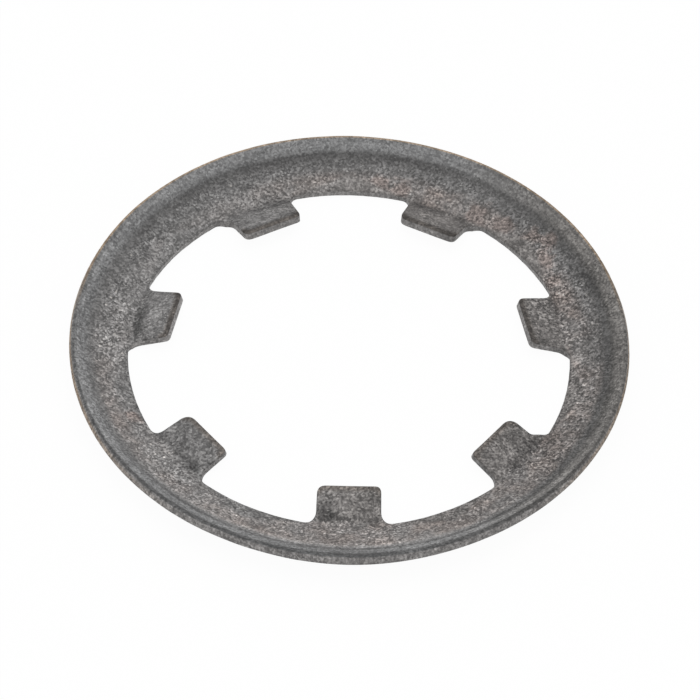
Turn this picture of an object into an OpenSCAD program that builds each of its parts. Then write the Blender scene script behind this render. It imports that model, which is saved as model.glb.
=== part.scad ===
// Push-on retaining ring, stamped and formed from one piece of spring steel sheet.
// A dished rim carries inward teeth that bend upward and grip a plain round shaft.
// Sizes are in millimetres and degrees. +Z points up along the shaft's axis, the ring
// rests on z = 0, and the first tooth points at the axis from the -Y side.

/* [Sheet] */
// Thickness of the steel sheet
sheet_t = 0.3; // [0.2:0.01:0.36]

/* [Rim] */
// Outside diameter, over the lower corner of the lip's edge
rim_d = 19.05; // [18.6:0.05:21]
// Diameter of the round window between the teeth
window_d = 15.06; // [14.6:0.01:15.6]
// Rise of the web, from the window out to the lip
web_angle = 19.5; // [8:0.5:26]
// Width of the lip, seen from above
lip_w = 0.68; // [0.5:0.01:0.9]
// Rise of the lip
lip_angle = 33; // [28:0.5:42]
// Radius of the bend between web and lip, on its upper side
lip_bend_r = 1.5; // [0.5:0.1:2]
// Lean of the sheared outer edge, inward from upright
edge_lean = 21.5; // [0:0.5:35]

/* [Teeth] */
// Number of teeth, evenly spaced
tooth_count = 7; // [5:1:9]
// Diameter of the circle that touches the upper edges of the tips
tip_d = 12.26; // [11.8:0.01:13]
// Width of a tooth at its root
tooth_w = 2.22; // [1.5:0.01:2.8]
// Taper of each flank of a tooth
tooth_taper = 1.6; // [0:0.1:5]
// Rise of a tooth, from its root in to its tip
tooth_angle = 18.5; // [8:0.5:30]
// Distance of the bend at a tooth's root inside the window's edge
bend_inset = 0.08; // [0.05:0.01:0.2]
// Radius of the bend at a tooth's root, on its upper side
tooth_bend_r = 0.25; // [0.1:0.01:0.4]
// Radius of a tip's rounded corners
tip_corner_r = 0.19; // [0.05:0.01:0.3]
// Radius of the fillets at a tooth's root
root_fillet_r = 0.3; // [0.1:0.01:0.35]

/* [Blunt root] */
// Tooth with the blunt root, counted counter-clockwise from the first, which is 0
blunt_tooth = 1; // [0:1:4]
// Length of the blunt root's flat along the tooth
blunt_leg = 0.45; // [0.3:0.01:0.6]

/* [Hidden] */

$fn = 96;
ring_color = [0.45, 0.45, 0.44];
rim_r = rim_d / 2;
window_r = window_d / 2;
tip_r = tip_d / 2;
tooth_pitch = 360 / tooth_count;
// Length by which cutting shapes run past the sheet
overrun = 1;
// Overlap of a rounded corner with the straight edges that it joins
blend = 0.003;
// Straight steps along each bend
bend_steps = 6;

// Unit vectors in the section, where x is the radius and y is the height
function along(angle) = [cos(angle), sin(angle)];
function across(angle) = [-sin(angle), cos(angle)];

// Corners of the upper face in the section, before it is lifted onto z = 0:
// the valley at the tooth's root and the foot of the lip
valley = [window_r - bend_inset, -bend_inset * tan(web_angle)];
lip_foot = [rim_r - lip_w, (rim_r - lip_w - window_r) * tan(web_angle)];
tooth_dir = 180 - tooth_angle;

// Centre of a bend that rounds a corner between two rising legs, above the sheet
function bend_centre(corner, radius, angle_in, angle_out) =
    corner + radius * (across(angle_in) + across(angle_out)) / (1 + cos(angle_out - angle_in));

valley_centre = bend_centre(valley, tooth_bend_r, -tooth_angle, web_angle);
lip_centre = bend_centre(lip_foot, lip_bend_r, web_angle, lip_angle);

// The lowest point of the sheet lies under the bend at the teeth's roots
lift = tooth_bend_r + sheet_t - valley_centre[1];

// Outer edge of the lip: its lower corner, its height along the lean and its upper corner
lip_low = [rim_r, lip_foot[1] + lip_w * tan(lip_angle) - sheet_t / cos(lip_angle)];
edge_h = sheet_t / cos(lip_angle - edge_lean);
lip_top = lip_low + edge_h * across(edge_lean);

// Middle of a tip's upper edge in the section
tip_top = valley + (valley[0] - tip_r) / cos(tooth_angle) * along(tooth_dir);

// Plan of a tooth: half widths at root and tip, with x across the tooth and y its radius
half_root = tooth_w / 2;
root_y = sqrt(window_r * window_r - half_root * half_root);
half_tip = half_root - (root_y - tip_r) * tan(tooth_taper);
flank_dir = [sin(tooth_taper), cos(tooth_taper)];
flank_normal = [cos(tooth_taper), -sin(tooth_taper)];

// Distance along a line, from a start inside a circle about the axis, out to that circle
function reach(start, dir, radius) =
    sqrt(pow(start * dir, 2) - start * start + radius * radius) - start * dir;

// Centre of a root fillet, which touches the flank and the window's edge
fillet_reach = root_fillet_r - blend;
fillet_start = [half_root, root_y] + fillet_reach * flank_normal;
fillet_centre = fillet_start + reach(fillet_start, flank_dir, window_r - fillet_reach) * flank_dir;

// Points along a bend in the section, between two directions from its centre
function bend_arc(centre, radius, angle_from, angle_to) = [
    for (i = [0 : bend_steps])
        centre + radius * along(angle_from + (angle_to - angle_from) * i / bend_steps)
];

// Section of the whole ring: tooth, root bend, web, lip bend and lip, upper face first
module section() {
    tooth_side = -90 - tooth_angle;
    web_side = -90 + web_angle;
    lip_side = -90 + lip_angle;
    tooth_end = tip_top + overrun / 2 * along(tooth_dir);
    polygon(concat(
        [tooth_end],
        bend_arc(valley_centre, tooth_bend_r, tooth_side, web_side),
        bend_arc(lip_centre, lip_bend_r, web_side, lip_side),
        [lip_top, lip_low],
        bend_arc(lip_centre, lip_bend_r + sheet_t, lip_side, web_side),
        bend_arc(valley_centre, tooth_bend_r + sheet_t, web_side, tooth_side),
        [tooth_end - sheet_t * across(-tooth_angle)]
    ));
}

// Patch that fills the corner between a flank and the window's edge with a fillet
module root_fillet() {
    to_flank = -root_fillet_r * flank_normal;
    to_window = root_fillet_r * fillet_centre / norm(fillet_centre);
    depth = 1.2;
    difference() {
        polygon([
            fillet_centre,
            fillet_centre + depth * to_flank,
            [0, window_r + sheet_t],
            fillet_centre + depth * to_window
        ]);
        translate(fillet_centre) circle(root_fillet_r);
    }
}

// Flat that fills one root corner where the punch has worn
module blunt_root() {
    flank_point = [half_root, root_y] - blunt_leg * flank_dir;
    window_turn = blunt_leg / window_r * 180 / PI;
    window_point = window_r * along(atan2(root_y, half_root) - window_turn);
    polygon([flank_point, window_point, [half_root, window_r], [0, root_y]]);
}

// Plan of one tooth, run inward past its tip and outward into the web
module tooth_plan(is_blunt) {
    inner_y = tip_r - overrun;
    half_inner = half_root - (root_y - inner_y) * tan(tooth_taper);
    polygon([
        [-half_inner, inner_y],
        [half_inner, inner_y],
        [half_root, root_y],
        [half_root, window_r + sheet_t],
        [-half_root, window_r + sheet_t],
        [-half_root, root_y]
    ]);
    root_fillet();
    mirror([1, 0]) root_fillet();
    if (is_blunt) blunt_root();
}

// Plan of the window: a round hole, less the teeth that stand in it
module window_plan() {
    difference() {
        circle(window_r);
        for (k = [0 : tooth_count - 1]) {
            rotate(180 + k * tooth_pitch) mirror([1, 0]) tooth_plan(k == blunt_tooth);
        }
    }
}

// Cutter that squares off one tip across its sheet and rounds its two corners
module tip_cut() {
    corner_x = half_tip + tip_corner_r * tan(tooth_taper) - tip_corner_r + blend;
    translate([0, tip_top[0], tip_top[1]]) rotate([-tooth_angle, 0, 0])
        linear_extrude(2 * overrun, center = true) difference() {
            translate([-half_root, -2 * overrun]) square([tooth_w, 2 * overrun + tip_corner_r]);
            translate([-corner_x, 0]) square([2 * corner_x, tip_corner_r]);
            for (side = [-1, 1]) {
                translate([side * corner_x, tip_corner_r]) circle(tip_corner_r);
            }
        }
}

module retaining_ring() {
    color(ring_color) translate([0, 0, lift]) difference() {
        rotate_extrude() section();
        linear_extrude(4 * overrun, center = true) window_plan();
        for (k = [0 : tooth_count - 1]) {
            rotate(180 + k * tooth_pitch) tip_cut();
        }
    }
}

retaining_ring();
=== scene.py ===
"""Looks of a push-on retaining ring: a dished ring of thin spring steel with seven bent-up teeth.

The ring's mesh is drawn here in full detail around the sizes of the solid, with what the press
left on it: rolled upper corners, sheared walls, a burr, uneven roots and small dents.
Lengths are in metres, angles in radians, and +Z points up.
"""
import math

import bpy
import numpy as np
from mathutils import Matrix, Vector, geometry, kdtree, noise


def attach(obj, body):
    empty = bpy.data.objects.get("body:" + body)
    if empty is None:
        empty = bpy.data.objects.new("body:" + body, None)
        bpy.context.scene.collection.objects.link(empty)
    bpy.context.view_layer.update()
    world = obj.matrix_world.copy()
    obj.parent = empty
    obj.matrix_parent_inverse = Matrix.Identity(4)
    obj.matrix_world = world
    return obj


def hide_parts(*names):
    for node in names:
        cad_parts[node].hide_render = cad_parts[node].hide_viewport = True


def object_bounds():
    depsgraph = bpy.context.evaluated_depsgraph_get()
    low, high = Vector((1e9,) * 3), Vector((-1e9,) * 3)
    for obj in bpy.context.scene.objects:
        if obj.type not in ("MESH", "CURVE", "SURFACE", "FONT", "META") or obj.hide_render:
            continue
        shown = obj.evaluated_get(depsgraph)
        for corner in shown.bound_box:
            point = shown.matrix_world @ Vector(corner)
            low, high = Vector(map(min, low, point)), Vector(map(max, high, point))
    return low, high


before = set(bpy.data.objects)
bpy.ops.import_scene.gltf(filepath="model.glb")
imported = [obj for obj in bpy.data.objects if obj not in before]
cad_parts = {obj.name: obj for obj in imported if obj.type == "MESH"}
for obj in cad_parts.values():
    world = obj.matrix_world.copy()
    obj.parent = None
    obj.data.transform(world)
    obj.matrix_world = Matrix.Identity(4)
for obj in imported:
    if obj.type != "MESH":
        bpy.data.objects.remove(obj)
cad_low, cad_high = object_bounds()

MM = 0.001

# Sizes of the ring, as the solid has them
RIM_R = max(*cad_high, *(-low for low in cad_low))
SHEET_T = 0.3 * MM
WINDOW_R = 15.06 / 2 * MM
WEB_ANGLE = math.radians(19.5)
LIP_W = 0.68 * MM
LIP_ANGLE = math.radians(33)
LIP_BEND_R = 1.5 * MM
EDGE_LEAN = math.radians(21.5)
TOOTH_COUNT = 7
TIP_R = 12.26 / 2 * MM
TOOTH_W = 2.22 * MM
TOOTH_TAPER = math.radians(1.6)
TOOTH_ANGLE = math.radians(18.5)
BEND_INSET = 0.08 * MM
TOOTH_BEND_R = 0.25 * MM
BLUNT_TOOTH = 1
BLUNT_LEG = 0.45 * MM

HALF_TIP = TOOTH_W / 2 - (WINDOW_R - TIP_R) * math.tan(TOOTH_TAPER)
TOOTH_PITCH = 2 * math.pi / TOOTH_COUNT
FIRST_TOOTH = -math.pi / 2

# What stamping and handling left uneven, tooth by tooth, counter-clockwise from the first.
# Flanks before and after a tooth's middle: widening at the tip, taper in degrees, and the radii of
# the tip's corner and the root's fillet
FLANKS = [
    ((-0.022, 1.6, 0.23, 0.36), (0.012, 0.4, 0.17, 0.34)),
    ((-0.003, 3.9, 0.14, 0.38), (-0.043, 2.4, 0.34, 0)),
    ((-0.015, 11.5, 0.17, 0.33), (-0.055, 3.2, 0.18, 0.3)),
    ((0.011, 1.6, 0.19, 0.44), (-0.041, 5.5, 0.27, 0.3)),
    ((-0.012, 4, 0.14, 0.3), (0.016, 1.6, 0.19, 0.45)),
    ((-0.092, 5.5, 0.12, 0.34), (-0.012, 12, 0.12, 0.28)),
    ((-0.112, 6, 0.36, 0.3), (0.042, 1.8, 0.13, 0.34)),
]
# How far the tip's two corners are worn back, and how far the tip has settled
TIP_WEAR = [
    (0.01, 0.01), (-0.036, -0.021), (0.04, 0.04), (0.015, 0.015),
    (0, -0.06), (0.004, 0.0), (-0.009, -0.021),
]
TIP_SETTLE = [0, 0.06, 0.06, 0, 0, 0.05, 0.06]

# Places where the rim stands proud: azimuth and half width in degrees, height in millimetres
RIM_BULGES = [(-88, 28, 0.055), (124, 32, 0.022), (148, 20, 0.022), (32, 34, 0.014), (-168, 28, -0.018)]
# The burr that hangs from the rim's lower corner, in the same terms
BURR = (-90, 26, 0.055)

# Small relief: how high it is and how many waves a millimetre holds
DENTS = (0.005 * MM, 1.6)
EDGE_WAVES = (0.007 * MM, 0.9)
SHEAR_MARKS = (0.005 * MM, 6)

# Smudges and unevenly coated places on the upper face: x, y and radius in millimetres, and the share
# of light that each takes, below zero where the place is brighter than the rest
SMUDGES = [
    (-7.21, 1.05, 0.35, 0.32), (-7.1, 1.55, 0.3, 0.3), (-0.76, -7.03, 0.5, 0.5),
    (-0.5, -7.2, 0.3, 0.4), (-6.25, -3.84, 0.3, 0.28), (-5.6, -4.62, 0.3, 0.28),
    (-5.25, -5.08, 0.3, 0.32), (6.51, 0.64, 0.3, 0.25), (3.86, 6.21, 0.28, 0.32),
    (2.36, 7.01, 0.35, 0.22), (-7.03, 5.43, 0.6, 0.2), (8.25, 3.0, 0.55, 0.15),
    (-0.17, -6.76, 0.5, -0.36), (2.56, 6.25, 0.25, -0.22), (-3.3, 7.32, 0.2, -0.25),
    (-7.15, 3.43, 0.3, -0.15), (5.16, -4.12, 1.0, -0.1), (-2.86, 5.95, 1.0, -0.24),
    (6.43, 1.47, 1.0, 0.07), (3.1, 6.5, 0.9, -0.16), (6.4, -3.7, 1.5, 0.3),
    (-3.7, -6.4, 1.4, -0.22), (8.45, 0, 1.0, 0.15), (7.75, 4.45, 1.0, -0.2),
    (4.3, 7.5, 1.0, -0.18), (6.7, 4.5, 0.8, -0.14), (7.79, -0.19, 0.4, -0.6),
    (-6.34, 1.45, 0.9, -0.15), (8.05, -3.6, 0.5, 0.2), (8.5, -2.2, 0.5, 0.2),
]

# Rosy places in the coat: x, y and radius in millimetres
ROSY_SPOTS = [
    (1.8, 7.6, 0.5), (1.1, 7.75, 0.45), (4.45, 6.4, 0.55), (5.31, 5.83, 0.55), (6.27, 5.24, 0.55),
    (6.85, 4.98, 0.5), (6.67, 4.22, 0.5), (6.93, 3.36, 0.45), (7.25, 0.3, 0.4), (-7.15, -3.0, 0.4),
]

# Fineness of the mesh
EDGE_STEP = 0.045 * MM
FACE_STEP = 0.085 * MM
ARC_STEP = math.radians(4)

# How far the punch left the window's edge inside the solid's, and how far it stood off centre
WINDOW_SCANT = 0.014 * MM
WINDOW_SHIFT = np.array([0.004, 0.018]) * MM

# Rounded corners of the sheared edges, and the strip of even faces beside them
RIM_ROLL_R = 0.085 * MM
WINDOW_ROLL_R = 0.06 * MM
LOWER_EDGE_R = 0.02 * MM
STRIP_W = 0.11 * MM


def along(angle):
    """Unit vector in the section, where x is the radius and y is the height."""
    return np.array([math.cos(angle), math.sin(angle)])


class Bend:
    """Round bend of the sheet's upper face, between two straight legs that rise at two slopes."""

    def __init__(self, corner, bend_r, slope_in, slope_out):
        reach = bend_r * math.tan((slope_out - slope_in) / 2)
        start = corner - reach * along(slope_in)
        self.bend_r = bend_r
        self.start_r = start[0]
        self.end_r = corner[0] + reach * math.cos(slope_out)
        self.centre = start + bend_r * along(slope_in + math.pi / 2)

    def height(self, radius):
        across = np.clip(radius - self.centre[0], -self.bend_r, self.bend_r)
        return self.centre[1] - np.sqrt(self.bend_r**2 - across**2)

    def holds(self, radius):
        return (radius > self.start_r) & (radius < self.end_r)


# Corners of the upper face in the section, from the window's upper edge, and its two bends
valley = np.array([WINDOW_R - BEND_INSET, -BEND_INSET * math.tan(WEB_ANGLE)])
lip_foot = np.array([RIM_R - LIP_W, (RIM_R - LIP_W - WINDOW_R) * math.tan(WEB_ANGLE)])
valley_bend = Bend(valley, TOOTH_BEND_R, -TOOTH_ANGLE, WEB_ANGLE)
lip_bend = Bend(lip_foot, LIP_BEND_R, WEB_ANGLE, LIP_ANGLE)

# The lowest point of the sheet, under the bend at the teeth's roots, lies on the floor
LIFT = TOOTH_BEND_R + SHEET_T - valley_bend.centre[1]

# Radius of the lip's upper corner
LIP_TOP_R = RIM_R - SHEET_T / math.cos(LIP_ANGLE - EDGE_LEAN) * math.sin(EDGE_LEAN)

# Share of the full sheet-square lean that the window's wall and the lip's edge have
WINDOW_SQUARENESS = 0.4
RIM_SQUARENESS = (RIM_R - LIP_TOP_R) / (SHEET_T * math.sin(LIP_ANGLE))


def smooth_step(value, low, high):
    share = np.clip((value - low) / (high - low), 0, 1)
    return share * share * (3 - 2 * share)


def swell(azimuth, place):
    """Smooth bump round the rim, from its azimuth, half width and height."""
    middle, half_width, height = place
    away = np.abs((np.degrees(azimuth) - middle + 180) % 360 - 180)
    return height * MM * smooth_step(-away, -half_width, 0)


def waves(points, relief, seed):
    """Smooth unevenness at each point, about as high as the relief says either way."""
    height, per_mm = relief
    spots = [Vector((*point, seed * MM)) if len(point) == 2 else Vector(point) for point in points]
    return height * np.array([noise.noise(spot * (per_mm / MM)) for spot in spots])


def upper_height(radius):
    """Height of the sheet's upper face along the section."""
    tooth = valley[1] + (valley[0] - radius) * math.tan(TOOTH_ANGLE)
    web = valley[1] + (radius - valley[0]) * math.tan(WEB_ANGLE)
    lip = lip_foot[1] + (radius - lip_foot[0]) * math.tan(LIP_ANGLE)
    straight = np.maximum(np.maximum(tooth, web), lip)
    bends = [(bend.holds(radius), bend.height(radius)) for bend in (valley_bend, lip_bend)]
    return LIFT + np.select([b[0] for b in bends], [b[1] for b in bends], straight)


def upper_slope(radius):
    """Angle at which the upper face rises outward."""
    reach = 0.01 * MM
    return np.arctan((upper_height(radius + reach) - upper_height(radius - reach)) / (2 * reach))


def tooth_frame(points):
    """Each plan point's place along and across its nearest tooth's axis, and that tooth's number."""
    angle = np.arctan2(points[:, 1], points[:, 0]) - FIRST_TOOTH
    number = np.round(angle / TOOTH_PITCH)
    turn = angle - number * TOOTH_PITCH
    radius = np.hypot(points[:, 0], points[:, 1])
    return radius * np.cos(turn), radius * np.sin(turn), number.astype(int) % TOOTH_COUNT


def tooth_share(points):
    """0 on the round rim, growing to 1 a little way out along the teeth."""
    flat_from = 0.45 * MM
    return smooth_step(WINDOW_R - np.hypot(points[:, 0], points[:, 1]), 0, flat_from)


def section_radius(points):
    """Radius at which each plan point lies in the section: teeth are flat, and the rim is round."""
    radius = np.hypot(points[:, 0], points[:, 1])
    return radius + (tooth_frame(points)[0] - radius) * tooth_share(points)


def sheet_points(points, depth):
    """Plan points lifted to a depth in the sheet: 0 is the upper face and 1 the lower face."""
    radius = section_radius(points)
    slope = upper_slope(radius)
    at_rim = smooth_step(radius, lip_foot[0], LIP_TOP_R)
    at_tip = smooth_step(-radius, -valley[0], -TIP_R)
    squareness = WINDOW_SQUARENESS + (RIM_SQUARENESS - WINDOW_SQUARENESS) * at_rim
    squareness = squareness + (1 - squareness) * at_tip
    outward = squareness * SHEET_T * np.sin(slope)
    drop = SHEET_T / np.cos(slope) - outward * np.tan(slope)
    direction = points / np.hypot(points[:, 0], points[:, 1])[:, None]
    plan = points + (depth * outward)[:, None] * direction
    lengthwise, _, number = tooth_frame(points)
    reach = np.clip((valley[0] - lengthwise) / (valley[0] - TIP_R), 0, None)
    settle = np.array(TIP_SETTLE)[number] * MM * reach * tooth_share(points)
    solid = np.column_stack([plan, upper_height(radius) - depth * drop - settle])
    normal = np.column_stack([-np.sin(slope)[:, None] * direction, np.cos(slope)])
    return solid + waves(solid, DENTS, 0)[:, None] * normal


def arc_points(centre, radius, angle_from, angle_to):
    """Points along an arc in plan, both ends included."""
    count = max(2, math.ceil(abs(angle_to - angle_from) / ARC_STEP) + 1)
    angles = np.linspace(angle_from, angle_to, count)
    return [centre + radius * along(angle) for angle in angles]


def reach_circle(start, direction, radius):
    """Distance along a direction, from a point inside a circle about the axis, out to that circle."""
    lengthwise = start @ direction
    return math.sqrt(lengthwise**2 - start @ start + radius**2) - lengthwise


def flank_outline(flank, wear, is_blunt):
    """Half of a tooth's outline, from its tip's corner to the window, with x across and y its radius."""
    widening, taper_degrees, corner_r, fillet_r = flank
    corner_r, fillet_r = corner_r * MM, fillet_r * MM
    taper = math.radians(taper_degrees)
    window_r = WINDOW_R - WINDOW_SCANT
    tip = np.array([HALF_TIP + widening * MM, TIP_R + wear * MM])
    flank_dir = np.array([math.sin(taper), math.cos(taper)])
    flank_normal = np.array([math.cos(taper), -math.sin(taper)])
    corner = tip + corner_r * np.array([(math.sin(taper) - 1) / math.cos(taper), 1])
    outline = arc_points(corner, corner_r, -math.pi / 2, -taper)
    if is_blunt:
        root = tip + reach_circle(tip, flank_dir, window_r) * flank_dir
        window_angle = math.atan2(root[1], root[0]) - BLUNT_LEG / window_r
        return outline + [root - BLUNT_LEG * flank_dir, window_r * along(window_angle)]
    start = tip + fillet_r * flank_normal
    centre = start + reach_circle(start, flank_dir, window_r - fillet_r) * flank_dir
    return outline + arc_points(centre, fillet_r, math.pi - taper, math.atan2(centre[1], centre[0]))


def window_outline():
    """Outline of the window with its teeth, counter-clockwise in plan."""
    outline = []
    for number in range(TOOTH_COUNT):
        turn = FIRST_TOOTH + number * TOOTH_PITCH
        outward, sideways = along(turn), along(turn + math.pi / 2)
        before = flank_outline(FLANKS[number][0], TIP_WEAR[number][0], False)
        after = flank_outline(FLANKS[number][1], TIP_WEAR[number][1], number == BLUNT_TOOTH)
        tooth = [(-x, y) for x, y in reversed(before)] + after
        tooth = [x * sideways + y * outward for x, y in tooth]
        if outline:
            outline += window_arc(outline[-1], tooth[0])
        outline += tooth
    return np.array(outline + window_arc(outline[-1], outline[0])) + WINDOW_SHIFT


def window_arc(start, end):
    """Points along the window's round edge, between two points on it."""
    angle_from = math.atan2(start[1], start[0])
    turn = (math.atan2(end[1], end[0]) - angle_from) % (2 * math.pi)
    return arc_points(np.zeros(2), WINDOW_R - WINDOW_SCANT, angle_from, angle_from + turn)[1:-1]


def rim_outline():
    """Outline of the lip's upper corner, with the places where it stands proud."""
    outline = []
    for azimuth in np.arange(0, 2 * math.pi, ARC_STEP / 8):
        proud = sum(swell(azimuth, place) for place in RIM_BULGES)
        outline.append((LIP_TOP_R + proud) * along(azimuth))
    return np.array(outline)


def even_loop(outline, step):
    """A closed outline as evenly spaced points."""
    closed = np.vstack([outline, outline[:1]])
    lengths = np.hypot(*np.diff(closed, axis=0).T)
    travel = np.concatenate([[0], np.cumsum(lengths)])
    stations = np.linspace(0, travel[-1], round(travel[-1] / step), endpoint=False)
    return np.column_stack([np.interp(stations, travel, closed[:, axis]) for axis in (0, 1)])


def soften(loop, passes):
    """Rounds the sharp corners of an evenly spaced loop a little."""
    for _ in range(passes):
        loop = loop / 2 + (np.roll(loop, 1, axis=0) + np.roll(loop, -1, axis=0)) / 4
    return loop


def into_sheet(loop, side):
    """Unit plan normals of a counter-clockwise loop: side 1 points away from what it encloses."""
    ahead = np.roll(loop, -1, axis=0) - np.roll(loop, 1, axis=0)
    normals = side * np.column_stack([ahead[:, 1], -ahead[:, 0]])
    return normals / np.hypot(normals[:, 0], normals[:, 1])[:, None]


class Edge:
    """One sheared edge of the sheet: its loop of points, and the plan normals into the sheet."""

    def __init__(self, outline, side, roll_r):
        self.rows = edge_rows(roll_r)
        loop = soften(even_loop(outline, EDGE_STEP), 3)
        normals = into_sheet(loop, side)
        self.loop = loop + waves(loop, EDGE_WAVES, 7)[:, None] * normals
        self.normals = into_sheet(self.loop, side)
        self.count = len(self.loop)

    def inset(self, distance):
        return self.loop + np.reshape(distance, (-1, 1)) * self.normals


def edge_rows(roll_r):
    """Rows round a sheared edge, from the upper face to the lower: inset from the edge, and depth."""
    quarter = np.radians([90, 66, 44, 22, 0])
    upper_depth, lower_depth = roll_r / SHEET_T, LOWER_EDGE_R / SHEET_T
    upper = [(roll_r * (1 - math.cos(a)), upper_depth * (1 - math.sin(a))) for a in quarter]
    lower = [
        (LOWER_EDGE_R * (1 - math.cos(a)), 1 - lower_depth * (1 - math.sin(a))) for a in quarter[::-1]]
    wall = [(0, depth) for depth in np.linspace(upper[-1][1], lower[0][1], 5)[1:-1]]
    middle = (STRIP_W + roll_r) / 2
    return [(STRIP_W, 0), (middle, 0), *upper, *wall, *lower, (middle, 1), (STRIP_W, 1)]


def edge_block(edge, inset, depth, has_burr):
    """One row of points round an edge, with the marks of the shear and the burr."""
    marks = waves(edge.loop, SHEAR_MARKS, 3) * smooth_step(depth, 0.1, 0.4) * (inset == 0)
    points = sheet_points(edge.inset(inset + marks), np.full(edge.count, depth))
    if has_burr:
        azimuth = np.arctan2(points[:, 1], points[:, 0])
        hang = smooth_step(depth, 0.5, 1) * (1 - inset / STRIP_W)
        points[:, 2] -= swell(azimuth, BURR) * hang
    return points


def face_lattice(window):
    """Plan points that fill the faces between the edges' strips, and their inset from the window."""
    tree = kdtree.KDTree(window.count)
    for index, point in enumerate(window.loop):
        tree.insert((*point, 0), index)
    tree.balance()
    clear = STRIP_W + FACE_STEP / 2
    points, insets = [], []
    rows = np.arange(TIP_R, LIP_TOP_R - clear, FACE_STEP * math.sqrt(3) / 2)
    for row, radius in enumerate(rows):
        count = round(2 * math.pi * radius / FACE_STEP)
        for column in range(count):
            point = radius * along((column + row % 2 / 2) * 2 * math.pi / count)
            _, index, distance = tree.find((*point, 0))
            if (point - window.loop[index]) @ window.normals[index] > clear:
                points.append(point)
                insets.append(distance)
    return np.array(points), np.array(insets)


def face_triangles(points, rim_count, window_count):
    """Triangles of a face: points hold the rim's strip, then the window's strip, then the lattice."""
    edges = [(i, (i + 1) % rim_count) for i in range(rim_count)]
    edges += [(rim_count + i, rim_count + (i + 1) % window_count) for i in range(window_count)]
    made = geometry.delaunay_2d_cdt([Vector(p / MM) for p in points], edges, [], 1, 1e-7)
    assert len(made[0]) == len(points), "the plan's outlines cross"
    triangles = np.array([[made[3][v][0] for v in face] for face in made[2]])
    ordered = np.sort(triangles, axis=1)
    first, second, third = (points[ordered[:, corner]] for corner in range(3))
    one, other = second - first, third - first
    turns_left = one[:, 0] * other[:, 1] > one[:, 1] * other[:, 0]
    on_window = (ordered[:, 0] >= rim_count) & (ordered[:, 2] < rim_count + window_count)
    return triangles[~(on_window & turns_left)]


class RingMesh:
    """Points and faces of the ring, and what its material needs to know of each point."""

    def __init__(self):
        self.rim = Edge(rim_outline(), -1, RIM_ROLL_R)
        self.window = Edge(window_outline(), 1, WINDOW_ROLL_R)
        self.lattice, self.lattice_insets = face_lattice(self.window)
        self.make_points()
        self.make_faces()

    def make_points(self):
        blocks, depths, rim_insets, window_insets = [], [], [], []
        for edge in (self.rim, self.window):
            for inset, depth in edge.rows:
                blocks.append(edge_block(edge, inset, depth, edge is self.rim))
                depths.append(np.full(edge.count, depth))
                radius = np.hypot(*edge.inset(inset).T)
                is_rim = edge is self.rim
                rim_insets.append(np.full(edge.count, inset) if is_rim else LIP_TOP_R - radius)
                window_insets.append(radius - WINDOW_R if is_rim else np.full(edge.count, inset))
        lattice_rim_insets = LIP_TOP_R - np.hypot(*self.lattice.T)
        for depth in (0, 1):
            depth_here = np.full(len(self.lattice), depth)
            blocks.append(sheet_points(self.lattice, depth_here))
            depths.append(depth_here)
            rim_insets.append(lattice_rim_insets)
            window_insets.append(self.lattice_insets)
        self.points = np.vstack(blocks)
        lengthwise, across, _ = tooth_frame(self.points[:, :2])
        self.marks = {
            "sheet_depth": np.concatenate(depths),
            "rim_inset": np.concatenate(rim_insets) / MM,
            "window_inset": np.concatenate(window_insets) / MM,
            "tooth_reach": (valley[0] - lengthwise) / MM,
            "tooth_across": across / MM,
        }

    def make_faces(self):
        rim_count, window_count, row_count = self.rim.count, self.window.count, len(self.rim.rows)
        window_start = row_count * rim_count
        lattice_start = window_start + row_count * window_count
        self.faces = []
        for start, count, flip in ((0, rim_count, False), (window_start, window_count, True)):
            for row in range(row_count - 1):
                near, far = start + row * count, start + (row + 1) * count
                for i in range(count):
                    j = (i + 1) % count
                    quad = (near + i, far + i, far + j, near + j)
                    self.faces.append(quad[::-1] if flip else quad)

        plan = np.vstack([self.rim.inset(STRIP_W), self.window.inset(STRIP_W), self.lattice])
        triangles = face_triangles(plan, rim_count, window_count)
        last = row_count - 1
        rim_ids, window_ids = np.arange(rim_count), window_start + np.arange(window_count)
        lattice_ids = lattice_start + np.arange(len(self.lattice))
        upper_ids = np.concatenate([rim_ids, window_ids, lattice_ids])
        lower_ids = np.concatenate([
            rim_ids + last * rim_count,
            window_ids + last * window_count,
            lattice_ids + len(self.lattice)])
        self.faces += upper_ids[triangles].tolist()
        self.faces += lower_ids[triangles[:, ::-1]].tolist()


def make_ring():
    made = RingMesh()
    mesh = bpy.data.meshes.new("ring_of_spring_steel")
    mesh.from_pydata(made.points.tolist(), [], made.faces)
    mesh.polygons.foreach_set("use_smooth", [True] * len(mesh.polygons))
    for name, values in made.marks.items():
        mesh.attributes.new(name, "FLOAT", "POINT").data.foreach_set("value", values)
    ring = bpy.data.objects.new("ring_of_spring_steel", mesh)
    bpy.context.scene.collection.objects.link(ring)
    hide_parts("retaining_ring")
    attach(ring, "root")
    return ring


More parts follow.
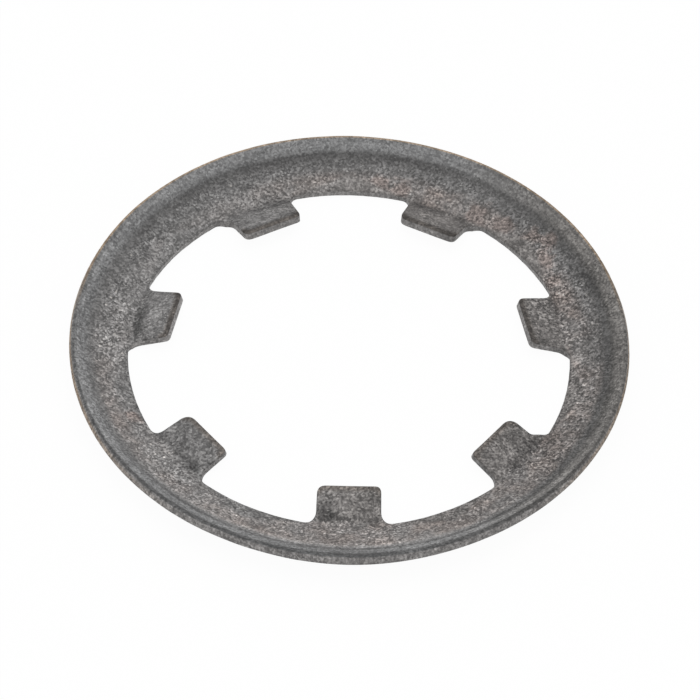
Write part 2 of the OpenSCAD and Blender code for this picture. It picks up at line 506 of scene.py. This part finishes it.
class Graph:
    """Short calls that add nodes to a tree; a value is a number, a vector or another node's output."""

    def __init__(self, tree):
        self.tree = tree

    def make(self, kind, values, **settings):
        node = self.tree.nodes.new(kind)
        for name, setting in settings.items():
            setattr(node, name, setting)
        for name, value in values.items():
            self.set(node.inputs[name], value)
        return node

    def set(self, socket, value):
        if isinstance(value, bpy.types.NodeSocket):
            self.tree.links.new(value, socket)
        else:
            socket.default_value = value

    def math(self, operation, *values):
        return self.make("ShaderNodeMath", dict(enumerate(values)), operation=operation).outputs[0]

    def product(self, first, *others):
        for other in others:
            first = self.math("MULTIPLY", first, other)
        return first

    def vector(self, operation, *values):
        return self.make("ShaderNodeVectorMath", dict(enumerate(values)), operation=operation).outputs[0]

    def scaled(self, vector, factor):
        values = {0: vector, "Scale": factor}
        return self.make("ShaderNodeVectorMath", values, operation="SCALE").outputs[0]

    def joined(self, x, y, z):
        return self.make("ShaderNodeCombineXYZ", {0: x, 1: y, 2: z}).outputs[0]

    def fade(self, value, low, high, at_low=0.0, at_high=1.0):
        """Number that goes smoothly from at_low to at_high as the value goes from low to high."""
        span = {"Value": value, "From Min": low, "From Max": high, "To Min": at_low, "To Max": at_high}
        return self.make("ShaderNodeMapRange", span, interpolation_type="SMOOTHSTEP").outputs["Result"]

    def noise(self, place, per_mm, detail=2.0, roughness=0.5):
        values = {"Vector": place, "Scale": per_mm, "Detail": detail, "Roughness": roughness}
        return self.make("ShaderNodeTexNoise", values).outputs[0]

    def mixed(self, share, first, second):
        """Colour between two others."""
        factor, first_colour, second_colour, result = 0, 6, 7, 2
        values = {factor: share, first_colour: first, second_colour: second}
        return self.make("ShaderNodeMix", values, data_type="RGBA").outputs[result]

    def tone(self, pattern, ratio, share=1.0):
        """Brightness that a pattern from 0 to 1 gives: the ratio is its lightest over its darkest."""
        centred = self.math("MULTIPLY", self.math("SUBTRACT", pattern, 0.5), share)
        return self.math("POWER", ratio, centred)

    def shade(self, mask, strength):
        """Brightness that falls from 1 by the strength where a mask is 1."""
        return self.math("SUBTRACT", 1.0, self.math("MULTIPLY", mask, strength))


class Place:
    """Where a point lies on the ring, as node outputs. Lengths are in millimetres."""

    def __init__(self, graph):
        own = graph.make("ShaderNodeTexCoord", {}).outputs["Object"]
        self.mm = graph.scaled(own, 1 / MM)
        self.plan = graph.vector("MULTIPLY", self.mm, (1, 1, 0))
        heading = graph.vector("NORMALIZE", self.plan)
        sides = graph.make("ShaderNodeSeparateXYZ", {0: heading})
        self.right, self.far = sides.outputs[0], sides.outputs[1]
        marks = {}
        for name in ("sheet_depth", "rim_inset", "window_inset", "tooth_reach", "tooth_across"):
            marks[name] = graph.make("ShaderNodeAttribute", {}, attribute_name=name).outputs["Fac"]
        self.depth = marks["sheet_depth"]
        self.rim_inset = marks["rim_inset"]
        self.window_inset = marks["window_inset"]
        self.reach = marks["tooth_reach"]
        self.across = graph.math("ABSOLUTE", marks["tooth_across"])
        self.on_top = graph.fade(self.depth, 0.3, 0.1)
        self.on_wall = graph.product(
            graph.fade(self.depth, 0.1, 0.25), graph.fade(self.depth, 1.0, 0.93))
        self.on_lip = graph.product(
            graph.fade(self.rim_inset, 0.66, 0.36), graph.fade(self.depth, 0.4, 0.2))
        self.on_tooth = graph.fade(self.reach, -0.02, 0.2)
        self.at_tip = graph.product(
            graph.fade(self.reach, 0.9, 1.2), graph.fade(self.window_inset, 0.26, 0.06), self.on_top)
        self.ragged = graph.math("MULTIPLY_ADD", graph.noise(self.mm, 2.5, 3.0, 0.6), 2.0, -1.0)


# Colours of the phosphate coat, in linear light
WEB_GREY = (0.186, 0.182, 0.18, 1)
WARM_GREY = (0.207, 0.176, 0.161, 1)
LIP_GREY = (0.188, 0.188, 0.189, 1)
LIP_WARM = (0.197, 0.188, 0.179, 1)
TOOTH_GREY = (0.163, 0.159, 0.157, 1)
TOOTH_WARM = (0.168, 0.158, 0.152, 1)
TIP_BROWN = (0.172, 0.152, 0.137, 1)
WALL_GREY = (0.2, 0.192, 0.188, 1)
WALL_TAN = (0.355, 0.264, 0.182, 1)
ROSY_GREY = (0.213, 0.18, 0.167, 1)
FLECK_GLINT_GREY = (0.48, 0.455, 0.43, 1)


def spot(graph, place, x, y, radius):
    """1 in a round mark on the upper face, falling to 0 over a ragged border."""
    away = graph.make("ShaderNodeVectorMath", {0: place.plan, 1: (x, y, 0)}, operation="DISTANCE")
    share = graph.math("MULTIPLY_ADD", away.outputs["Value"], 1 / radius, place.ragged)
    return graph.product(graph.fade(share, 1.0, 0.3), place.on_top)


def crystal_glints(graph, place):
    """1 on a few large crystals of the coat, most of them on the near side, painted pale as glints where
    they catch the light.
    """
    crystals = graph.make("ShaderNodeTexVoronoi", {"Vector": place.mm, "Scale": 6.5})
    picked = graph.make("ShaderNodeSeparateXYZ", {0: crystals.outputs["Color"]}).outputs[0]
    rare = graph.fade(place.far, -0.9, 0.2, 0.9, 0.935)
    chosen = graph.fade(picked, rare, graph.math("ADD", rare, 0.06))
    return graph.product(chosen, graph.fade(crystals.outputs["Distance"], 0.42, 0.12))


def coat_colour(graph, place):
    """Tint of the coat: warmer in patches on the web and on the lip's right, tan along the rim.

    The tan lies down the wall to the sides, and on the upper corner alone at the back.
    """
    patches = graph.fade(graph.noise(place.mm, 0.8, 3.0, 0.6), 0.36, 0.7, 0.2, 1.0)
    outer_warmth = graph.fade(place.far, 0.5, -0.5, 0.0, 0.7)
    inner_warmth = graph.fade(place.right, -0.7, 0.3, 0.2, 1.0)
    warmth = graph.fade(place.rim_inset, 1.0, 1.5, outer_warmth, inner_warmth)
    off_lip = graph.fade(place.rim_inset, 0.6, 0.85)
    colour = graph.mixed(graph.product(patches, warmth, off_lip), WEB_GREY, WARM_GREY)
    for x, y, radius in ROSY_SPOTS:
        colour = graph.mixed(spot(graph, place, x, y, radius), colour, ROSY_GREY)
    # Painted glints: pale flecks on large crystals of the coat
    colour = graph.mixed(graph.product(crystal_glints(graph, place), off_lip), colour, FLECK_GLINT_GREY)
    lip_colour = graph.mixed(graph.fade(place.right, 0.3, 0.9), LIP_GREY, LIP_WARM)
    colour = graph.mixed(place.on_lip, colour, lip_colour)
    tooth_colour = graph.mixed(graph.fade(place.right, -0.5, 0.1), TOOTH_GREY, TOOTH_WARM)
    colour = graph.mixed(place.on_tooth, colour, tooth_colour)
    colour = graph.mixed(place.at_tip, colour, TIP_BROWN)
    colour = graph.mixed(place.on_wall, colour, WALL_GREY)
    low_wall = graph.product(graph.fade(place.depth, 0.3, 0.6), graph.fade(place.far, -0.87, -0.02))
    far_rim = graph.fade(place.far, 0.05, 0.4)
    off_back = graph.math(
        "MAXIMUM", graph.fade(place.depth, 0.3, 0.15), graph.fade(place.far, 0.75, 0.45, 0.1, 1.0))
    tan = graph.product(
        graph.fade(place.rim_inset, 0.09, 0.035), graph.math("MAXIMUM", low_wall, far_rim), off_back)
    return graph.mixed(tan, colour, WALL_TAN)


def grain_tone(graph, place, grain):
    """Light and dark grains of the coat."""
    patchy = graph.fade(graph.noise(place.mm, 0.9, 2.0, 0.5), 0.3, 0.7, 0.7, 1.15)
    smooth = graph.math("MAXIMUM", graph.fade(place.rim_inset, 0.95, 0.6), place.on_wall)
    crisp = graph.product(
        graph.fade(place.far, 0.2, 0.9, 1.02, 0.78), graph.fade(place.right, 0.5, 0.95, 1.0, 1.2),
        graph.shade(place.on_tooth, 0.17))
    share = graph.product(patchy, crisp, graph.shade(smooth, 0.4))
    clumps = graph.tone(graph.noise(place.mm, 4.5, 2.0, 0.5), 3.0, share)
    clouds = graph.tone(graph.noise(place.mm, 1.3, 3.0, 0.6), 1.8)
    return graph.product(graph.tone(grain, 14.5, share), clumps, clouds)


def painted_shade_tone(graph, place):
    """Painted shade: darker along the bend's crease and over the outer web, mostly far and right."""
    lip_w = graph.fade(place.right, 0.6, 0.9, 0.38, 0.28)
    off_lip = graph.fade(place.rim_inset, lip_w, graph.math("ADD", lip_w, 0.2))
    outer_web = graph.product(graph.fade(place.rim_inset, 1.6, 0.7), off_lip, place.on_top)
    far_web = graph.math(
        "ADD", graph.fade(place.far, -0.5, 0.95, 0.0, 0.42), graph.fade(place.far, 0.88, 1.0, 0.0, 0.07))
    off_far = graph.fade(place.far, 0.85, 0.3)
    right_web = graph.math("MULTIPLY", graph.fade(place.right, 0.2, 0.85, 0.0, 0.17), off_far)
    band = graph.product(graph.fade(place.rim_inset, 0.9, 0.62), off_lip, place.on_top)
    near_band = graph.fade(place.far, -0.3, 0.3, 0.18, 0.08)
    far_band = graph.math("ADD", near_band, graph.fade(place.far, 0.6, 0.98, 0.0, 0.18))
    right_band = graph.math("MULTIPLY", graph.fade(place.right, 0.3, 0.9, 0.0, 0.14), off_far)
    off_near = graph.fade(place.far, -0.99, -0.85)
    patchy = graph.fade(graph.noise(place.mm, 1.1, 3.0, 0.6), 0.3, 0.65, 0.6, 1.25)
    strength = graph.product(graph.math("ADD", far_band, right_band), off_near, patchy)
    # Painted shade: the whole ring darker toward the right, and the lip darker on the right
    side = graph.fade(place.right, 0.1, 0.85, 1.0, 0.86)
    lip = graph.shade(place.on_lip, graph.fade(place.right, 0.55, 0.95, 0.0, 0.12))
    # Painted shade and light: the inner web darker at the back and lighter at the front
    inner_web = graph.fade(place.rim_inset, 0.8, 1.3)
    inner = graph.shade(inner_web, graph.fade(place.far, -0.5, 0.9, -0.08, 0.13))
    web = graph.shade(outer_web, graph.math("ADD", far_web, right_web))
    return graph.product(web, graph.shade(band, strength), side, lip, inner)


def stripe(graph, value, middle, half_width):
    """1 at a value, falling to 0 at half a width to either side."""
    away = graph.math("ABSOLUTE", graph.math("SUBTRACT", value, middle))
    return graph.fade(away, half_width, half_width / 5)


def lip_tone(graph, place):
    """Fine streaks round the lip, where the tool wiped it; at the front a painted highlight on the bend's
    ridge and painted shade in the groove beside it; a lighter line round the lip, and a darker stripe
    toward the back.
    """
    round_scale, across_scale = 2.4, 7.0
    wiped = graph.joined(
        graph.math("MULTIPLY", place.right, round_scale),
        graph.math("MULTIPLY", place.far, round_scale),
        graph.math("MULTIPLY", place.rim_inset, across_scale))
    streaks = graph.tone(graph.noise(wiped, 1.0, 3.0, 0.6), 3.2, place.on_lip)
    near = graph.product(graph.fade(place.far, -0.55, -0.8), place.on_top)
    off_far = graph.product(graph.fade(place.far, 0.97, 0.8), place.on_top)
    bright_line_at = graph.fade(place.far, -0.8, -0.3, 0.35, 0.18)
    bright_line_strength = graph.product(
        graph.fade(place.far, -0.8, -0.2, 0.13, 0.21), graph.fade(place.right, 0.8, 0.97, 1.0, 0.4))
    far_sides = graph.product(graph.fade(place.far, 0.45, 0.7), graph.fade(place.far, 0.98, 0.9))
    dull = graph.product(
        stripe(graph, place.rim_inset, 0.42, 0.22), far_sides, graph.fade(place.right, 0.62, 0.45))
    # Painted highlight on the ridge of the bend at the front, and painted shade in the groove outside it
    ridge_highlight = graph.product(stripe(graph, place.rim_inset, 0.74, 0.2), near)
    groove_shade = graph.product(stripe(graph, place.rim_inset, 0.54, 0.09), near)
    bright_line = graph.product(stripe(graph, place.rim_inset, bright_line_at, 0.15), off_far)
    lighter = graph.math(
        "ADD", graph.product(ridge_highlight, 0.5), graph.product(bright_line, bright_line_strength))
    return graph.product(
        streaks, graph.math("ADD", 1.0, lighter), graph.shade(groove_shade, 0.29), graph.shade(dull, 0.2))


def edge_tone(graph, place):
    """Painted shade: dark lines along the rolled upper corners and over the tips' upper faces; marks of
    the shear down the walls; the rim's wall darker at the sides; and pale tip walls.
    """
    broken = graph.fade(graph.noise(place.mm, 2.2, 3.0, 0.6), 0.3, 0.6, 0.8, 1.0)
    # Painted shade: a dark line along the lip's rolled upper corner, wider and stronger at the front
    line_w = graph.fade(place.far, -0.9, -0.45, 0.25, 0.1)
    rim_line = graph.product(
        graph.fade(place.rim_inset, line_w, graph.math("MULTIPLY", line_w, 0.55)),
        graph.fade(place.depth, 0.25, 0.1))
    rim_strength = graph.product(
        graph.fade(place.far, -0.4, 0.9, 0.64, 0.15), graph.fade(place.right, 0.8, 0.97, 1.0, 0.6),
        broken)
    far_right = graph.product(
        graph.fade(place.right, 0.2, 0.6), graph.fade(place.right, 0.7, 0.95, 1.0, 0.55),
        graph.fade(place.far, 0.1, 0.5))
    left = graph.product(
        graph.fade(place.right, -0.8, -0.93), graph.fade(place.far, 0.65, 0.4),
        graph.fade(place.far, -0.3, 0.0))
    # Painted shade: a second dark line just inside it, on the far right and on the left
    second_line = graph.product(stripe(graph, place.rim_inset, 0.12, 0.075), place.on_top)
    second_strength = graph.product(graph.math("MAXIMUM", far_right, left), broken, 0.3)
    # Painted shade: a dark line along the teeth's rolled upper corners, and over the upper faces at their
    # tips, except at the front
    # A smaller inset for the same place makes the line wider on the far teeth
    tip_inset = graph.product(place.window_inset, graph.fade(place.far, 0.2, 0.8, 1.0, 0.55))
    tip_line = graph.product(
        stripe(graph, tip_inset, 0.06, 0.13), graph.fade(place.depth, 0.3, 0.12),
        graph.fade(place.reach, 0.0, 0.5))
    tip_broken = graph.fade(graph.noise(place.mm, 3.0, 3.0, 0.6), 0.35, 0.6, 0.55, 1.05)
    off_near = graph.fade(place.far, -0.95, 0.1, 0.05, 1.0)
    tip_strength = graph.product(tip_broken, off_near, graph.fade(place.reach, 0.95, 1.2, 0.1, 0.6))
    soft_tip = graph.shade(place.at_tip, graph.math("MULTIPLY", off_near, 0.24))
    stretched = graph.vector("MULTIPLY", place.mm, (1.0, 1.0, 0.2))
    marks = graph.tone(graph.noise(stretched, 12.0, 3.0, 0.6), 6.0, place.on_wall)
    lines = graph.product(
        graph.shade(rim_line, rim_strength), graph.shade(second_line, second_strength),
        graph.shade(tip_line, tip_strength), soft_tip)
    beside = graph.product(
        graph.fade(place.far, 0.5, 0.1), graph.fade(place.far, -0.65, -0.2),
        graph.fade(place.rim_inset, 0.2, 0.1), place.on_wall)
    sides = graph.shade(beside, graph.fade(place.right, 0.5, 0.95, 0.28, 0.38))
    tip_wall = graph.product(
        place.on_wall, graph.fade(place.reach, 0.9, 1.2), graph.fade(place.far, 0.8, 0.4))
    return graph.product(lines, marks, sides, graph.shade(tip_wall, -0.22))


def tooth_tone(graph, place):
    """Painted shade in patches in the bends at the teeth's roots, smudges over the teeth, and painted
    shade and light that darkens the near teeth and lightens the far ones.
    """
    # Painted shade in patches in the concave bends at the teeth's roots
    in_bend = graph.product(
        stripe(graph, place.reach, 0.12, 0.3), graph.fade(place.across, 1.15, 0.95), place.on_top)
    patches = graph.fade(graph.noise(place.mm, 1.0, 2.0, 0.5), 0.4, 0.62, 0.05, 0.38)
    tooth_top = graph.product(place.on_tooth, place.on_top)
    smears = graph.tone(graph.noise(place.mm, 1.9, 2.0, 0.6), 3.0, tooth_top)
    # Painted shade and light: the near teeth darker, the far ones lighter
    tooth_side_light = graph.shade(place.on_tooth, graph.fade(place.far, -1.0, 0.9, 0.22, -0.22))
    return graph.product(graph.shade(in_bend, patches), smears, tooth_side_light)


def smudge_tone(graph, place):
    """Smudges and unevenly coated places."""
    tone = 1.0
    for x, y, radius, strength in SMUDGES:
        tone = graph.math("MULTIPLY", graph.shade(spot(graph, place, x, y, radius), strength), tone)
    return tone


def steel():
    """Grainy dark grey phosphate coat on spring steel."""
    material = bpy.data.materials.new("phosphated_steel")
    material.use_nodes = True
    graph = Graph(material.node_tree)
    place = Place(graph)
    grains = graph.make("ShaderNodeTexVoronoi", {"Vector": place.mm, "Scale": 15.0})
    grain_light = graph.make("ShaderNodeSeparateXYZ", {0: grains.outputs["Color"]}).outputs[0]
    mottle = graph.noise(place.mm, 12.0, 2.0, 0.6)
    grain = graph.math("MULTIPLY_ADD", graph.math("SUBTRACT", mottle, 0.5), 0.9,
                       graph.math("MULTIPLY_ADD", grain_light, 0.5, 0.25))
    # The tone holds painted shade and light by side and in creases, and painted highlights and shade along
    # the lip and the corners
    tone = graph.product(
        grain_tone(graph, place, grain), painted_shade_tone(graph, place), lip_tone(graph, place),
        edge_tone(graph, place), tooth_tone(graph, place), smudge_tone(graph, place))
    shader = material.node_tree.nodes["Principled BSDF"]
    graph.set(shader.inputs["Base Color"], graph.scaled(coat_colour(graph, place), tone))
    graph.set(shader.inputs["Roughness"], graph.fade(grain, 0.3, 0.7, 0.62, 0.46))
    shader.inputs["Metallic"].default_value = 0.4
    bump = graph.make("ShaderNodeBump", {"Height": grain, "Strength": 0.6, "Distance": 0.012 * MM})
    graph.set(shader.inputs["Normal"], bump.outputs["Normal"])
    return material


# Camera, as the photograph was taken: a long lens from the first tooth's side
CAMERA_ELEVATION = math.radians(49.29)
CAMERA_TURN = math.radians(-1.364)
CAMERA_ROLL = math.radians(2.02)
CAMERA_DISTANCE = 166.6 * MM
CAMERA_LENS = 251.7
FRAME_PX = 700
# Pixel at which the middle of the window's upper edge shows
AIM_PX = (348.95, 353.6)


def make_camera():
    lens = bpy.data.cameras.new("camera")
    lens.sensor_width = 36
    lens.lens = CAMERA_LENS
    lens.clip_start = 0.01
    lens.clip_end = 10
    lens.shift_x = 0.5 - AIM_PX[0] / FRAME_PX
    lens.shift_y = AIM_PX[1] / FRAME_PX - 0.5
    camera = bpy.data.objects.new("camera", lens)
    bpy.context.scene.collection.objects.link(camera)
    level = math.cos(CAMERA_ELEVATION)
    sideways, forward = math.sin(CAMERA_TURN) * level, -math.cos(CAMERA_TURN) * level
    back = Vector((sideways, forward, math.sin(CAMERA_ELEVATION)))
    aim = Vector((0, 0, LIFT))
    facing = (-back).to_track_quat("-Z", "Y").to_matrix().to_4x4()
    turned = facing @ Matrix.Rotation(CAMERA_ROLL, 4, "Z")
    camera.matrix_world = Matrix.Translation(aim + CAMERA_DISTANCE * back) @ turned
    bpy.context.scene.camera = camera


def make_lamp(name, place, size, level):
    """A square soft box that faces the ring; level is the share of full light that it gives."""
    place = Vector(place)
    data = bpy.data.lights.new(name, "AREA")
    data.shape = "SQUARE"
    data.size = size
    data.energy = level * math.pi**2 * place.length_squared
    lamp = bpy.data.objects.new(name, data)
    lamp.location = place
    lamp.rotation_mode = "QUATERNION"
    lamp.rotation_quaternion = (-place).to_track_quat("-Z", "Y")
    bpy.context.scene.collection.objects.link(lamp)


def seen_directly(graph):
    """1 for what the camera sees, also in a mirror or through glass, and 0 for other light."""
    rays = graph.make("ShaderNodeLightPath", {}).outputs
    reflected = graph.math("MAXIMUM", rays["Is Glossy Ray"], rays["Is Transmission Ray"])
    return graph.math("MAXIMUM", rays["Is Camera Ray"], reflected)


def make_world():
    world = bpy.data.worlds.new("studio")
    bpy.context.scene.world = world
    world.use_nodes = True
    graph = Graph(world.node_tree)
    background = world.node_tree.nodes["Background"]
    background.inputs["Color"].default_value = (1, 1, 1, 1)
    ambient = 0.74
    graph.set(background.inputs["Strength"], graph.fade(seen_directly(graph), 0, 1, ambient, 1))


def make_floor():
    half = 2.0
    mesh = bpy.data.meshes.new("floor")
    corners = [(-half, -half, 0), (half, -half, 0), (half, half, 0), (-half, half, 0)]
    mesh.from_pydata(corners, [], [(0, 1, 2, 3)])
    floor = bpy.data.objects.new("floor", mesh)
    bpy.context.scene.collection.objects.link(floor)
    material = bpy.data.materials.new("white_floor")
    material.use_nodes = True
    nodes = material.node_tree.nodes
    nodes.remove(nodes["Principled BSDF"])
    graph = Graph(material.node_tree)
    matte = graph.make("ShaderNodeBsdfDiffuse", {"Color": (0.95, 0.95, 0.95, 1)})
    glow = graph.make("ShaderNodeEmission", {"Strength": 1})
    white_share = graph.math("MULTIPLY", seen_directly(graph), 0.96)
    mix = graph.make("ShaderNodeMixShader", {0: white_share, 1: matte.outputs[0], 2: glow.outputs[0]})
    graph.set(nodes["Material Output"].inputs["Surface"], mix.outputs[0])
    mesh.materials.append(material)


ring = make_ring()
ring.data.materials.append(steel())
make_camera()
make_lamp("top_light", (0, 0.08, 0.5), 0.5, 0.32)
make_world()
make_floor()
bpy.context.scene.view_settings.view_transform = "Standard"
